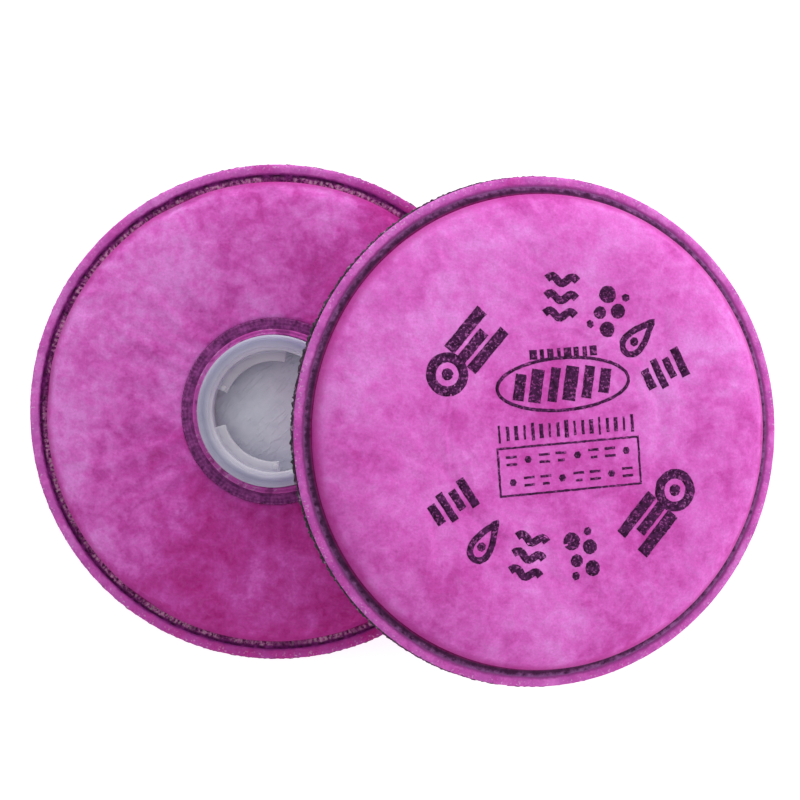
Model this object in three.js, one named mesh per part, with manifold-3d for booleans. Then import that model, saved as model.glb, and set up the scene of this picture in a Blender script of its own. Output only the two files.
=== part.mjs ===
// A pair of round particulate filters for a twin-filter respirator facepiece.
// The lower filter lies flat, front face down, with its bayonet fitting up.
// The upper filter lies front face up and leans on it: its fitting's mouth rests on
// the lower filter's shoulder and the low side of its own shoulder on the table.
// Units are millimetres and +Z is up. The origin is the middle of the underside of
// the pair's bounding box.
import * as THREE from "three";
import { mergeVertices } from "three/addons/utils/BufferGeometryUtils.js";
import Module from "manifold-3d";

const wasm = await Module();
wasm.setup();

// ---- One filter. Heights are above the middle plane of its welded rim, and the ----
// ---- rear, which carries the fitting, is the positive side.                    ----
const SEGMENTS = 48;
const RIM_RADIUS = 52.5;
const RIM_HALF_THICKNESS = 1.15;
const RIM_EDGE_ROUNDING = 0.5;
const RIM_INNER_RADIUS = 50.4;
const WELD_OUTER_RADIUS = 50;
const WELD_INNER_RADIUS = 48.3;
const WELD_HALF_THICKNESS = 0.9;
const SHOULDER_RADIUS = 43.5;
const REAR_HEIGHT = 5.2;
const FRONT_HEIGHT = 6.5;

// The webs are stacked from the covers inwards, with a gap between neighbours.
const GAP = 0.3;
const COVER_THICKNESS = 0.7;
const FILTER_WEB_THICKNESS = 0.8;
const CARBON_WEB_THICKNESS = 0.6;
const INNER_WEB_RADIUS = 45.6;
const INNER_WEB_SLOPE = 2.6;
const FILTER_WEB_EDGE_HEIGHT = 1.9;
const CARBON_WEB_EDGE_HEIGHT = 0.8;
const CORE_HALF_THICKNESS = 0.25;
const CORE_INNER_RADIUS = 46.9;
const CORE_OUTER_RADIUS = 52.2;
const SPACER_CROWN_HEIGHT = 3.9;
const SPACER_CROWN_RADIUS = 12.1;

// Bayonet fitting: a short tube on a flange, with three lugs inside its mouth.
const FITTING_RADIUS = 15.9;
const FITTING_HEIGHT = 9;
const MOUTH_STEP_RADIUS = 13.6;
const MOUTH_STEP_DEPTH = 0.4;
const BORE_RADIUS = 12.7;
const FLANGE_RADIUS = 19.5;
const FLANGE_THICKNESS = 0.8;
const EDGE_BREAK = 0.35;
const LUG_INNER_RADIUS = 10.5;
const LUG_TOP_DEPTH = 2;
const LUG_THICKNESS = 1.3;
const LUG_WALL_BITE = 0.4;
const LUG_SPANS_DEG = [[78, 158.5], [195.5, 275.5], [315, 400]];
const LUG_ARC_STEPS = 8;

// Collar weld: the cover web fused onto the fitting's flange.
const COLLAR_INNER_RADIUS = 16.25;
const COLLAR_OUTER_RADIUS = 19.5;
const COLLAR_THICKNESS = 0.8;
const COVER_HOLE_RADIUS = 19.8;

// ---- How the two filters lie ----
const CENTRE_DISTANCE = 55.7;
const LEAN_DEG = 16.55;
const FLOOR_GAP = 0.2;
const LOWER_TURN_DEG = 4.4;

const COLOURS = {
  cover_web: { color: 0xd94fb0, roughness: 0.95, metalness: 0 },
  filter_web: { color: 0xf0eef2, roughness: 0.95, metalness: 0 },
  carbon_web: { color: 0x2c2a30, roughness: 0.95, metalness: 0 },
  spacer_web: { color: 0xd8d2e0, roughness: 0.95, metalness: 0 },
  weld: { color: 0x4a1c4c, roughness: 0.7, metalness: 0 },
  bayonet_plastic: { color: 0xd9dae6, roughness: 0.4, metalness: 0 },
};

// Heights of the stack, worked out from the covers inwards.
const coverUnderside = REAR_HEIGHT - COVER_THICKNESS;
const rearFilterTop = coverUnderside - GAP;
const rearCarbonTop = rearFilterTop - FILTER_WEB_THICKNESS - GAP;
const spacerTop = rearCarbonTop - CARBON_WEB_THICKNESS - GAP;
const frontCoverInside = -FRONT_HEIGHT + COVER_THICKNESS;
const frontFilterDepth = -frontCoverInside - GAP;
const frontCarbonDepth = frontFilterDepth - FILTER_WEB_THICKNESS - GAP;
const spacerBottom = -(frontCarbonDepth - CARBON_WEB_THICKNESS - GAP);
const collarBottom = coverUnderside - FLANGE_THICKNESS;

// A solid of revolution about Z from [radius, height] points. A profile that doesn't
// start and end on the axis is closed onto its own first point.
function turned(points) {
  const outline = points.map(([radius, height]) => new THREE.Vector2(radius, height));
  const area = THREE.ShapeUtils.area(outline);
  if (area < 0) outline.reverse();
  const onAxis = outline[0].x === 0 && outline[outline.length - 1].x === 0;
  if (!onAxis) outline.push(outline[0].clone());
  const geometry = new THREE.LatheGeometry(outline, SEGMENTS);
  geometry.rotateX(Math.PI / 2);
  return geometry;
}

function toManifold(geometry) {
  const bare = geometry.clone();
  bare.deleteAttribute("normal");
  bare.deleteAttribute("uv");
  const merged = mergeVertices(bare, 1e-5);
  const mesh = new wasm.Mesh({
    numProp: 3,
    vertProperties: new Float32Array(merged.attributes.position.array),
    triVerts: new Uint32Array(merged.index.array),
  });
  return new wasm.Manifold(mesh);
}

function toGeometry(manifold) {
  const mesh = manifold.getMesh();
  const geometry = new THREE.BufferGeometry();
  geometry.setAttribute("position", new THREE.BufferAttribute(mesh.vertProperties, 3));
  geometry.setIndex(new THREE.BufferAttribute(mesh.triVerts, 1));
  geometry.computeVertexNormals();
  return geometry;
}

// Half of the rim and weld strip, from the rim's edge in to the foot of the pillow.
// side is 1 for the rear cover and -1 for the front one.
function rimOutline(side) {
  return [
    [RIM_RADIUS, side * (CORE_HALF_THICKNESS + GAP)],
    [RIM_RADIUS, side * (RIM_HALF_THICKNESS - RIM_EDGE_ROUNDING / 2)],
    [RIM_RADIUS - RIM_EDGE_ROUNDING, side * RIM_HALF_THICKNESS],
    [RIM_INNER_RADIUS, side * RIM_HALF_THICKNESS],
    [WELD_OUTER_RADIUS, side * WELD_HALF_THICKNESS],
    [WELD_INNER_RADIUS, side * WELD_HALF_THICKNESS],
  ];
}

// The rounded shoulder of the pillow, from its foot up to its flat top.
function shoulderOutline(height, side) {
  const rise = height - WELD_HALF_THICKNESS;
  return [
    [WELD_INNER_RADIUS - 0.4, side * (WELD_HALF_THICKNESS + 0.42 * rise)],
    [SHOULDER_RADIUS + 2.2, side * (WELD_HALF_THICKNESS + 0.82 * rise)],
    [SHOULDER_RADIUS, side * height],
  ];
}

// The inside of a cover, from its flat ceiling out to the cut edge.
function coverInside(ceiling, side) {
  const foot = CORE_HALF_THICKNESS + GAP;
  return [
    [SHOULDER_RADIUS - 0.5, side * ceiling],
    [SHOULDER_RADIUS + 1.6, side * (foot + 0.78 * (ceiling - foot))],
    [WELD_INNER_RADIUS - 0.8, side * foot],
  ];
}

function rearCover() {
  return turned([
    ...rimOutline(1),
    ...shoulderOutline(REAR_HEIGHT, 1),
    [COVER_HOLE_RADIUS + 1.6, REAR_HEIGHT],
    [COVER_HOLE_RADIUS, collarBottom + COLLAR_THICKNESS + GAP],
    [COVER_HOLE_RADIUS, coverUnderside],
    ...coverInside(coverUnderside, 1),
  ]);
}

function frontCover() {
  return turned([
    [0, frontCoverInside],
    ...coverInside(-frontCoverInside, -1),
    ...rimOutline(-1),
    ...shoulderOutline(FRONT_HEIGHT, -1),
    [0, -FRONT_HEIGHT],
  ]);
}

// A web whose edge bends down to the weld. height is its outer face's, edgeHeight is that
// face's at the rim, and the hole in the middle may be left out.
function web(height, thickness, edgeHeight, side, holeRadius = 0) {
  const bend = INNER_WEB_RADIUS - INNER_WEB_SLOPE;
  return turned([
    [holeRadius, side * (height - thickness)],
    [holeRadius, side * height],
    [bend, side * height],
    [INNER_WEB_RADIUS, side * edgeHeight],
    [INNER_WEB_RADIUS, side * (edgeHeight - thickness)],
    [bend, side * (height - thickness)],
  ]);
}

// The breather pad that holds the two faces apart. It swells a little into the mouth.
function spacer() {
  return turned([
    [0, spacerBottom],
    [INNER_WEB_RADIUS - 5, spacerBottom],
    [INNER_WEB_RADIUS - 3.5, 0],
    [INNER_WEB_RADIUS - 5, spacerTop],
    [SPACER_CROWN_RADIUS, spacerTop],
    [SPACER_CROWN_RADIUS * 0.6, 0.6 * SPACER_CROWN_HEIGHT + 0.4 * spacerTop],
    [0, SPACER_CROWN_HEIGHT],
  ]);
}

function perimeterWeld() {
  return turned([
    [CORE_INNER_RADIUS, -CORE_HALF_THICKNESS],
    [CORE_OUTER_RADIUS, -CORE_HALF_THICKNESS],
    [CORE_OUTER_RADIUS, CORE_HALF_THICKNESS],
    [CORE_INNER_RADIUS, CORE_HALF_THICKNESS],
  ]);
}

function collarWeld() {
  const top = collarBottom + GAP + COLLAR_THICKNESS;
  return turned([
    [COLLAR_INNER_RADIUS, collarBottom + GAP],
    [COLLAR_OUTER_RADIUS, collarBottom + GAP],
    [COLLAR_OUTER_RADIUS, top - EDGE_BREAK],
    [COLLAR_OUTER_RADIUS - EDGE_BREAK, top],
    [COLLAR_INNER_RADIUS, top],
  ]);
}

function lug([startDeg, endDeg]) {
  const start = THREE.MathUtils.degToRad(startDeg);
  const end = THREE.MathUtils.degToRad(endDeg);
  const outline = new THREE.Shape();
  outline.absarc(0, 0, BORE_RADIUS + LUG_WALL_BITE, start, end, false);
  outline.absarc(0, 0, LUG_INNER_RADIUS, end, start, true);
  outline.closePath();
  const geometry = new THREE.ExtrudeGeometry(outline, {
    depth: LUG_THICKNESS,
    bevelEnabled: false,
    curveSegments: LUG_ARC_STEPS,
  });
  geometry.translate(0, 0, FITTING_HEIGHT - LUG_TOP_DEPTH - LUG_THICKNESS);
  return geometry;
}

function bayonetFitting() {
  const flangeBottom = collarBottom - FLANGE_THICKNESS;
  let solid = toManifold(turned([
    [BORE_RADIUS, flangeBottom],
    [FLANGE_RADIUS, flangeBottom],
    [FLANGE_RADIUS, collarBottom],
    [FITTING_RADIUS, collarBottom],
    [FITTING_RADIUS, FITTING_HEIGHT - EDGE_BREAK],
    [FITTING_RADIUS - EDGE_BREAK, FITTING_HEIGHT],
    [MOUTH_STEP_RADIUS, FITTING_HEIGHT],
    [MOUTH_STEP_RADIUS - EDGE_BREAK, FITTING_HEIGHT - MOUTH_STEP_DEPTH],
    [BORE_RADIUS, FITTING_HEIGHT - MOUTH_STEP_DEPTH],
  ]));
  for (const span of LUG_SPANS_DEG) solid = solid.add(toManifold(lug(span)));
  return toGeometry(solid);
}

function filterWeb(height, side, holeRadius) {
  return web(height, FILTER_WEB_THICKNESS, FILTER_WEB_EDGE_HEIGHT, side, holeRadius);
}

function carbonWeb(height, side, holeRadius) {
  return web(height, CARBON_WEB_THICKNESS, CARBON_WEB_EDGE_HEIGHT, side, holeRadius);
}

// Every piece of one filter, with its finish.
const webHole = FLANGE_RADIUS + GAP;
const PIECES = [
  ["front_cover_web", frontCover(), "cover_web"],
  ["front_filter_web", filterWeb(frontFilterDepth, -1), "filter_web"],
  ["front_carbon_web", carbonWeb(frontCarbonDepth, -1), "carbon_web"],
  ["spacer_web", spacer(), "spacer_web"],
  ["rear_carbon_web", carbonWeb(rearCarbonTop, 1, webHole), "carbon_web"],
  ["rear_filter_web", filterWeb(rearFilterTop, 1, webHole), "filter_web"],
  ["rear_cover_web", rearCover(), "cover_web"],
  ["perimeter_weld", perimeterWeld(), "weld"],
  ["collar_weld", collarWeld(), "weld"],
  ["bayonet_fitting", bayonetFitting(), "bayonet_plastic"],
];

function makeFilter(prefix) {
  const filter = new THREE.Group();
  for (const [name, geometry, finish] of PIECES) {
    const mesh = new THREE.Mesh(geometry, new THREE.MeshStandardMaterial(COLOURS[finish]));
    mesh.name = `${prefix}_${name}`;
    filter.add(mesh);
  }
  return filter;
}

const lower = makeFilter("lower");
lower.position.z = FRONT_HEIGHT;
lower.rotation.z = THREE.MathUtils.degToRad(LOWER_TURN_DEG);

// The upper filter is turned over, and leans with its low side towards +X. There its
// shoulder stands on the table.
const lean = THREE.MathUtils.degToRad(LEAN_DEG);
const shoulderDrop = SHOULDER_RADIUS * Math.sin(lean) + REAR_HEIGHT * Math.cos(lean);
const upper = makeFilter("upper");
upper.position.set(CENTRE_DISTANCE, 0, FLOOR_GAP + shoulderDrop);
upper.rotation.y = Math.PI + lean;

const group = new THREE.Group();
group.add(lower, upper);
group.updateMatrixWorld(true);
const middle = new THREE.Box3().setFromObject(group, true).getCenter(new THREE.Vector3());
group.position.set(-middle.x, -middle.y, 0);

export default group;
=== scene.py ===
# A pair of round respirator filters. The lower one lies flat with its bayonet fitting up,
# and the upper one leans on it with its printed front up. Every filter is built in its own
# frame: the origin is the middle of the welded rim, +Z points out of the rear, which
# carries the fitting, and lengths are in millimetres until a mesh is made.
import math

import bpy
import bmesh
import numpy as np
from mathutils import Matrix, Vector, noise
from mathutils.bvhtree import BVHTree


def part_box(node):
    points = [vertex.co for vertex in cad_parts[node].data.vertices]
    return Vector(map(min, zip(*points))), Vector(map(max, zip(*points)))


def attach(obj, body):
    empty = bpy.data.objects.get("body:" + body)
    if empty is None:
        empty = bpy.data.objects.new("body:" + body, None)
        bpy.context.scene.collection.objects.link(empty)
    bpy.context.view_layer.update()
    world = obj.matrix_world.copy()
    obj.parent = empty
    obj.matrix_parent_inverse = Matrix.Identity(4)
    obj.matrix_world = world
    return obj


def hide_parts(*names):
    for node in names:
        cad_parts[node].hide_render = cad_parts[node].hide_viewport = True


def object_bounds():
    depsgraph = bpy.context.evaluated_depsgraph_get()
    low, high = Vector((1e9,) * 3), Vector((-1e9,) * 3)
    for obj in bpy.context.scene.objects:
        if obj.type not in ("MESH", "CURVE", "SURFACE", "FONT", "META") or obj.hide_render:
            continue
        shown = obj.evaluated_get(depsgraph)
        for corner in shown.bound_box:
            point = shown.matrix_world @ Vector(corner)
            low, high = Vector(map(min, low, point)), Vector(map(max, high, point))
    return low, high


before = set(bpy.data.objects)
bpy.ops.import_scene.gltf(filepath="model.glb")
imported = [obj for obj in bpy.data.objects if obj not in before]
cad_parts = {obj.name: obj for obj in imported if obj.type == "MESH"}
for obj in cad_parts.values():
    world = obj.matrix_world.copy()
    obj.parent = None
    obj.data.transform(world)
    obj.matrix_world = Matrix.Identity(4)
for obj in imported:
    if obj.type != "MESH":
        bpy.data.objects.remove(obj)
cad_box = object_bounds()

MM = 0.001

# ---- Sizes read from the frame ----


def box_mm(node):
    low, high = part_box(node)
    return np.array(low) / MM, np.array(high) / MM


weld_low, weld_high = box_mm("lower_perimeter_weld")
LOWER_CENTRE = (weld_low + weld_high) / 2
CORE_RADIUS = (weld_high[0] - weld_low[0]) / 2
CORE_HALF = (weld_high[2] - weld_low[2]) / 2


def own_corners(part):
    """The low and the high corner of a part's box in the lower filter's own frame."""
    low, high = box_mm(f"lower_{part}")
    return low - LOWER_CENTRE, high - LOWER_CENTRE


REAR_HEIGHT = own_corners("rear_cover_web")[1][2]
FRONT_HEIGHT = -own_corners("front_cover_web")[0][2]
FITTING_FOOT = own_corners("bayonet_fitting")[0][2]
FLANGE_RADIUS, _, FITTING_HEIGHT = own_corners("bayonet_fitting")[1]
COLLAR_LOW, COLLAR_TOP = [corner[2] for corner in own_corners("collar_weld")]
SPACER_TOP = own_corners("spacer_web")[1][2]
WEB_RADIUS, _, REAR_WEB_TOP = own_corners("rear_filter_web")[1]
FRONT_WEB_TOP = -own_corners("front_filter_web")[0][2]

lean_low, lean_high = box_mm("upper_perimeter_weld")
UPPER_CENTRE = (lean_low + lean_high) / 2
half_width, _, half_height = (lean_high - lean_low) / 2
LEAN = math.atan2(
    CORE_RADIUS * half_height - CORE_HALF * half_width,
    CORE_RADIUS * half_width - CORE_HALF * half_height,
)

# ---- Sizes inside a filter that the boxes don't give ----
REAR_FOOT = 48.55
FRONT_FOOT = 48.65
RIM_START = 50.2
WELD_HALF = 0.85
COVER_HOLE = 19.6
COVER_THICKNESS = 0.6
CELL = 0.9
TURN_DEG = 4.4
TEETH_REAR = 276
TEETH_COLLAR = 132
FITTING_RADIUS = 15.9
BORE_RADIUS = 12.7
LUG_RADIUS = 10.5

PLACES = {
    "lower": Matrix.Translation(Vector(LOWER_CENTRE * MM)),
    "upper": Matrix.Translation(Vector(UPPER_CENTRE * MM))
    @ Matrix.Rotation(math.pi + LEAN, 4, "Y"),
}
SIDE_NAMES = {1: "rear", -1: "front"}
SEEDS = {"lower": 3.0, "upper": 11.0}
# Where each filter is painted darker: partly deeper dye, partly painted shade, on the lower
# filter where the upper one shades it. Then how uneven its dye is, and the colour that a rim
# melts into with the radii between which it does, which is partly painted shade.
DYE_AND_SHADE_SIDES = {
    "lower": [(-0.08, 0.21, -24, 4), (-0.13, 0.12, 24, 46)],
    "upper": [(-0.25, 0.06, -30, 10)],
}
CONTRAST = {"lower": 1.35, "upper": 1.0}
BODIES = {"lower": "lower_filter", "upper": "upper_filter"}
# Rim colours and radii below: partly fused web, partly painted shade on the roll's inner slope.
REAR_MELT_AND_SHADE = (0.15, 0.013, 0.135), (49.9, 50.95)
FRONT_MELT_AND_SHADE = (0.28, 0.076, 0.26), (50.0, 51.2)


# ---- Mesh helpers ----


def linked(name, data):
    """A new object in the scene."""
    obj = bpy.data.objects.new(name, data)
    bpy.context.scene.collection.objects.link(obj)
    return obj


def make_object(name, points, faces, material, place):
    """A mesh object from points in millimetres in a filter's own frame."""
    mesh = bpy.data.meshes.new(name)
    mesh.from_pydata((np.asarray(points, float) * MM).tolist(), [], faces)
    mesh.validate()
    mesh.polygons.foreach_set("use_smooth", [True] * len(mesh.polygons))
    mesh.materials.append(material)
    mesh.update()
    obj = linked(name, mesh)
    obj.matrix_world = place
    return obj


def stitch(first, second):
    """Triangles between two rings, each given as (first index, vertex count, angle shift)."""
    (a, count_a, shift_a), (b, count_b, shift_b) = first, second
    if count_a == 1:
        return [(a, b + j, b + (j + 1) % count_b) for j in range(count_b)]
    if count_b == 1:
        return [(a + i, b, a + (i + 1) % count_a) for i in range(count_a)]
    faces = []
    i = j = 0
    while i < count_a or j < count_b:
        next_a = (i + 1 + shift_a) / count_a
        next_b = (j + 1 + shift_b) / count_b
        if j >= count_b or (i < count_a and next_a <= next_b):
            faces.append((a + i % count_a, b + j % count_b, a + (i + 1) % count_a))
            i += 1
        else:
            faces.append((a + i % count_a, b + j % count_b, b + (j + 1) % count_b))
            j += 1
    return faces


def on_circle(radius, angle, height=0.0):
    return radius * math.cos(angle), radius * math.sin(angle), height


def lay_rings(rings, closed):
    """Points and faces of a surface of revolution whose rings may differ in their count.
    Each ring is (radius, height, count, shift)."""
    points, spans, faces = [], [], []
    for radius, height, count, shift in rings:
        spans.append((len(points), count, shift))
        for k in range(count):
            points.append(on_circle(radius, (k + shift) * math.tau / count, height))
    pairs = list(zip(spans[:-1], spans[1:]))
    if closed:
        pairs.append((spans[-1], spans[0]))
    for first, second in pairs:
        faces += stitch(first, second)
    return np.array(points), faces, spans


def swept(profile, angles, wrap=True, radial=None, axial=None):
    """A closed [radius, height] profile carried round the axis through the given angles.
    radial and axial may add a shift that depends on the angle and the profile's index."""
    profile = np.array(profile, float)
    count, steps = len(profile), len(angles)
    index = np.arange(count)
    points = np.zeros((steps, count, 3))
    for k, angle in enumerate(angles):
        radius = profile[:, 0] + (radial(angle, index) if radial else 0)
        height = profile[:, 1] + (axial(angle, index) if axial else 0)
        points[k] = np.stack([radius * math.cos(angle), radius * math.sin(angle), height], 1)
    faces = []
    for k in range(steps if wrap else steps - 1):
        here, there = k * count, (k + 1) % steps * count
        for i in range(count):
            j = (i + 1) % count
            faces.append((here + i, there + i, there + j, here + j))
    if not wrap:
        faces.append(tuple(range(count))[::-1])
        faces.append(tuple((steps - 1) * count + i for i in range(count)))
    return points.reshape(-1, 3), faces


def round_angles(count):
    return [k * math.tau / count for k in range(count)]


def rough(point, size, seed, octaves=3):
    """Fractal noise of about -1 to 1 whose largest lumps are about size millimetres."""
    spot = Vector(point) / size + Vector((seed, -seed, 2 * seed))
    return noise.fractal(spot, 0.9, 2.1, octaves, noise_basis="PERLIN_ORIGINAL")


def outward(obj):
    """Turns every face of a closed mesh to point out."""
    work = bmesh.new()
    work.from_mesh(obj.data)
    bmesh.ops.recalc_face_normals(work, faces=work.faces)
    work.to_mesh(obj.data)
    work.free()
    return obj


def shell(prefix, part, points, faces, material):
    """A closed piece of one filter, in its place."""
    return outward(make_object(f"{prefix}_{part}", points, faces, material, PLACES[prefix]))


def settle(obj_name, points, faces, pinned, held):
    """Lets a web find its own shape over its padding. It is a cloth that is a little too
    large for its space, blown outwards and held back by the padding. Lengths are scaled up
    for the simulation, because Blender's cloth is made for larger things."""
    scale = 0.01
    mesh = bpy.data.meshes.new(obj_name)
    mesh.from_pydata((points * scale).tolist(), [], faces)
    obj = linked(obj_name, mesh)
    scene = bpy.context.scene
    group = obj.vertex_groups.new(name="held")
    for k, weight in enumerate(held):
        group.add([k], 1.0 if pinned[k] else float(weight), "REPLACE")
    cloth = obj.modifiers.new("cloth", "CLOTH")
    settings = cloth.settings
    settings.quality = 6
    settings.mass = 0.05
    settings.air_damping = 3
    settings.tension_stiffness = 20
    settings.compression_stiffness = 20
    settings.shear_stiffness = 8
    settings.bending_stiffness = 0.02
    settings.vertex_group_mass = "held"
    settings.pin_stiffness = 1.0
    settings.shrink_min = -0.035
    settings.use_pressure = True
    settings.uniform_pressure_force = 0.6
    settings.effector_weights.gravity = 0
    for step in range(1, 26):
        scene.frame_set(step)
    graph = bpy.context.evaluated_depsgraph_get()
    shaped = obj.evaluated_get(graph).to_mesh()
    result = np.zeros(len(points) * 3)
    shaped.vertices.foreach_get("co", result)
    obj.evaluated_get(graph).to_mesh_clear()
    bpy.data.objects.remove(obj)
    scene.frame_set(1)
    return result.reshape(-1, 3) / scale


# ---- Materials ----


class Nodes:
    """Short calls for building one material's node tree."""

    def __init__(self, name, seed=0.0):
        self.material = bpy.data.materials.new(name)
        self.material.use_nodes = True
        self.tree = self.material.node_tree
        self.shader = self.tree.nodes["Principled BSDF"]
        self.place = self.add("ShaderNodeTexCoord").outputs["Object"]
        self.shifted = self.moved((seed, seed, seed))

    def feed(self, socket, value):
        """Links a socket to another node's output, or gives it a plain value."""
        if isinstance(value, bpy.types.NodeSocket):
            self.tree.links.new(value, socket)
        else:
            socket.default_value = value

    def add(self, kind, inputs=None, **settings):
        node = self.tree.nodes.new(kind)
        for key, value in settings.items():
            setattr(node, key, value)
        for key, value in (inputs or {}).items():
            self.feed(node.inputs[key], value)
        return node

    def noise(self, vector, scale, detail=3.0, roughness=0.55, distortion=0.0):
        inputs = {"Vector": vector, "Scale": scale, "Detail": detail}
        inputs.update({"Roughness": roughness, "Distortion": distortion})
        return self.add("ShaderNodeTexNoise", inputs).outputs["Fac"]

    def speckle(self, scale, detail=3.0, roughness=0.55, distortion=0.0):
        """Noise at the material's own place in the noise field."""
        return self.noise(self.shifted, scale, detail, roughness, distortion)

    def moved(self, shift, turn=0.0, stretch=(1, 1, 1)):
        inputs = {"Vector": self.place, "Location": shift, "Rotation": (0, 0, turn)}
        inputs["Scale"] = stretch
        return self.add("ShaderNodeMapping", inputs, vector_type="TEXTURE").outputs["Vector"]

    def math(self, operation, a, b=0.0):
        return self.add("ShaderNodeMath", {0: a, 1: b}, operation=operation).outputs[0]

    def times(self, a, b):
        return self.math("MULTIPLY", a, b)

    def plus(self, a, b):
        return self.math("ADD", a, b)

    def minus(self, a, b):
        return self.math("SUBTRACT", a, b)

    def ramp(self, value, stops):
        """A colour ramp from (position, (r, g, b)) stops, in linear colour."""
        node = self.add("ShaderNodeValToRGB", {"Fac": value})
        elements = node.color_ramp.elements
        while len(elements) > 1:
            elements.remove(elements[-1])
        elements[0].position = stops[0][0]
        elements[0].color = (*stops[0][1], 1)
        for position, colour in stops[1:]:
            elements.new(position).color = (*colour, 1)
        return node.outputs["Color"]

    def fade(self, value, low, high):
        """0 below low, 1 above high and smooth between."""
        inputs = {"Value": value, "From Min": low, "From Max": high}
        node = self.add("ShaderNodeMapRange", inputs, interpolation_type="SMOOTHSTEP")
        return node.outputs["Result"]

    def fall(self, value, low, high):
        """1 below low, 0 above high and smooth between."""
        return self.minus(1.0, self.fade(value, low, high))

    def mix(self, share, a, b, blend="MIX"):
        node = self.add("ShaderNodeMix", {0: share}, data_type="RGBA", blend_type=blend)
        for key, colour in ((6, a), (7, b)):
            self.feed(node.inputs[key], (*colour, 1) if isinstance(colour, tuple) else colour)
        return node.outputs[2]

    def bump(self, height, distance_mm, strength=1.0):
        inputs = {"Height": height, "Distance": distance_mm * MM, "Strength": strength}
        return self.add("ShaderNodeBump", inputs).outputs["Normal"]

    def polar(self):
        """The radius in metres and the angle in turns, about the filter's axis."""
        split = self.add("ShaderNodeSeparateXYZ", {"Vector": self.place})
        x, y = split.outputs["X"], split.outputs["Y"]
        squares = self.plus(self.times(x, x), self.times(y, y))
        radius = self.math("SQRT", squares)
        angle = self.math("DIVIDE", self.math("ARCTAN2", y, x), math.tau)
        return radius, angle

    def ragged(self, radius, mottle, reach_mm):
        """The radius made uneven, so that a change of colour along it has a ragged edge."""
        return self.plus(radius, self.times(self.minus(mottle, 0.5), reach_mm * MM))

    def finish(self, colour, normal=None, **values):
        self.feed(self.shader.inputs["Base Color"], colour)
        if normal is not None:
            self.feed(self.shader.inputs["Normal"], normal)
        for key, value in values.items():
            name = key.replace("_", " ").title().replace("Ior", "IOR")
            self.feed(self.shader.inputs[name], value)
        return self.material


def dye_and_shade_depth(nodes, place, dye_and_shade, contrast):
    """How pale the dye is from place to place, and its finest clumps, with the listed sides painted
    darker: partly deeper dye, partly painted shade.
    """
    clouds = nodes.noise(place, 58, 3.0, 0.5, 0.3)
    blotches = nodes.noise(place, 210, 3.0, 0.6, 0.4)
    curds = nodes.noise(place, 620, 2.0, 0.6, 0.2)
    patches = nodes.plus(nodes.times(clouds, 0.44), nodes.times(blotches, 0.36))
    patches = nodes.plus(patches, nodes.times(curds, 0.20))
    patches = nodes.times(nodes.minus(patches, 0.5), contrast)
    patches = nodes.plus(patches, 0.5)
    # Painted shade mixed with deeper dye: darker towards each listed side.
    for direction, amount, start, end in dye_and_shade:
        split = nodes.add("ShaderNodeSeparateXYZ", {"Vector": nodes.place})
        along = nodes.times(split.outputs["X"], math.cos(direction * math.tau))
        across = nodes.times(split.outputs["Y"], math.sin(direction * math.tau))
        darker_dye_and_shade = nodes.fade(nodes.plus(along, across), start * MM, end * MM)
        patches = nodes.minus(patches, nodes.times(darker_dye_and_shade, amount))
    return patches, curds


def fibre_strands(nodes, place, seed):
    """Long bent fibres that cross each other in four directions."""
    strands = None
    bent = nodes.noise(place, 150, 2.0, 0.5)
    for turn in (0.3, 1.15, 1.9, 2.75):
        along = nodes.moved((seed + turn, seed, 0), turn, (7, 1, 1))
        wander = nodes.add("ShaderNodeVectorMath", {0: along, 1: (0, 0, 0)}, operation="ADD")
        shift = nodes.add("ShaderNodeCombineXYZ", {"Y": nodes.times(bent, 6 * MM)})
        nodes.tree.links.new(shift.outputs[0], wander.inputs[1])
        layer = nodes.fade(nodes.noise(wander.outputs[0], 1700, 1.0, 0.4), 0.62, 0.78)
        strands = layer if strands is None else nodes.math("MAXIMUM", strands, layer)
    return strands


def dyed_fibre(nodes, seed, dye_and_shade=(), contrast=1.0):
    """The cloudy pink of the dyed cover web, and the relief of its fibres. The third argument lists
    the sides painted darker, partly deeper dye and partly painted shade: the direction in turns,
    how much darker, and where along that direction the change starts and ends, in millimetres."""
    place = nodes.moved((seed, 0.7 * seed, -seed))
    patches, curds = dye_and_shade_depth(nodes, place, dye_and_shade, contrast)
    colour = nodes.ramp(patches, [
        (0.13, (0.46, 0.020, 0.240)),
        (0.28, (0.57, 0.054, 0.375)),
        (0.365, (0.62, 0.080, 0.46)),
        (0.45, (0.73, 0.134, 0.59)),
        (0.525, (0.78, 0.185, 0.67)),
        (0.605, (0.82, 0.255, 0.76)),
    ])
    strands = fibre_strands(nodes, place, seed)
    colour = nodes.mix(nodes.times(strands, 0.045), colour, (0.86, 0.46, 0.86))
    grain = nodes.noise(place, 2000, 2.0, 0.65)
    shade = nodes.plus(nodes.times(grain, 0.50), 0.75)
    tint = nodes.add("ShaderNodeCombineColor", {0: shade, 1: shade, 2: shade}).outputs[0]
    colour = nodes.mix(1.0, colour, tint, "MULTIPLY")
    relief = nodes.plus(nodes.times(grain, 0.6), nodes.times(strands, 0.2))
    relief = nodes.plus(relief, nodes.times(curds, 0.8))
    return colour, relief


FIBRE_FINISH = {
    "roughness": 0.9,
    "specular_ior_level": 0.15,
    "sheen_weight": 0.08,
    "sheen_roughness": 0.5,
    "sheen_tint": (1.0, 0.70, 0.95, 1.0),
}


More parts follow.
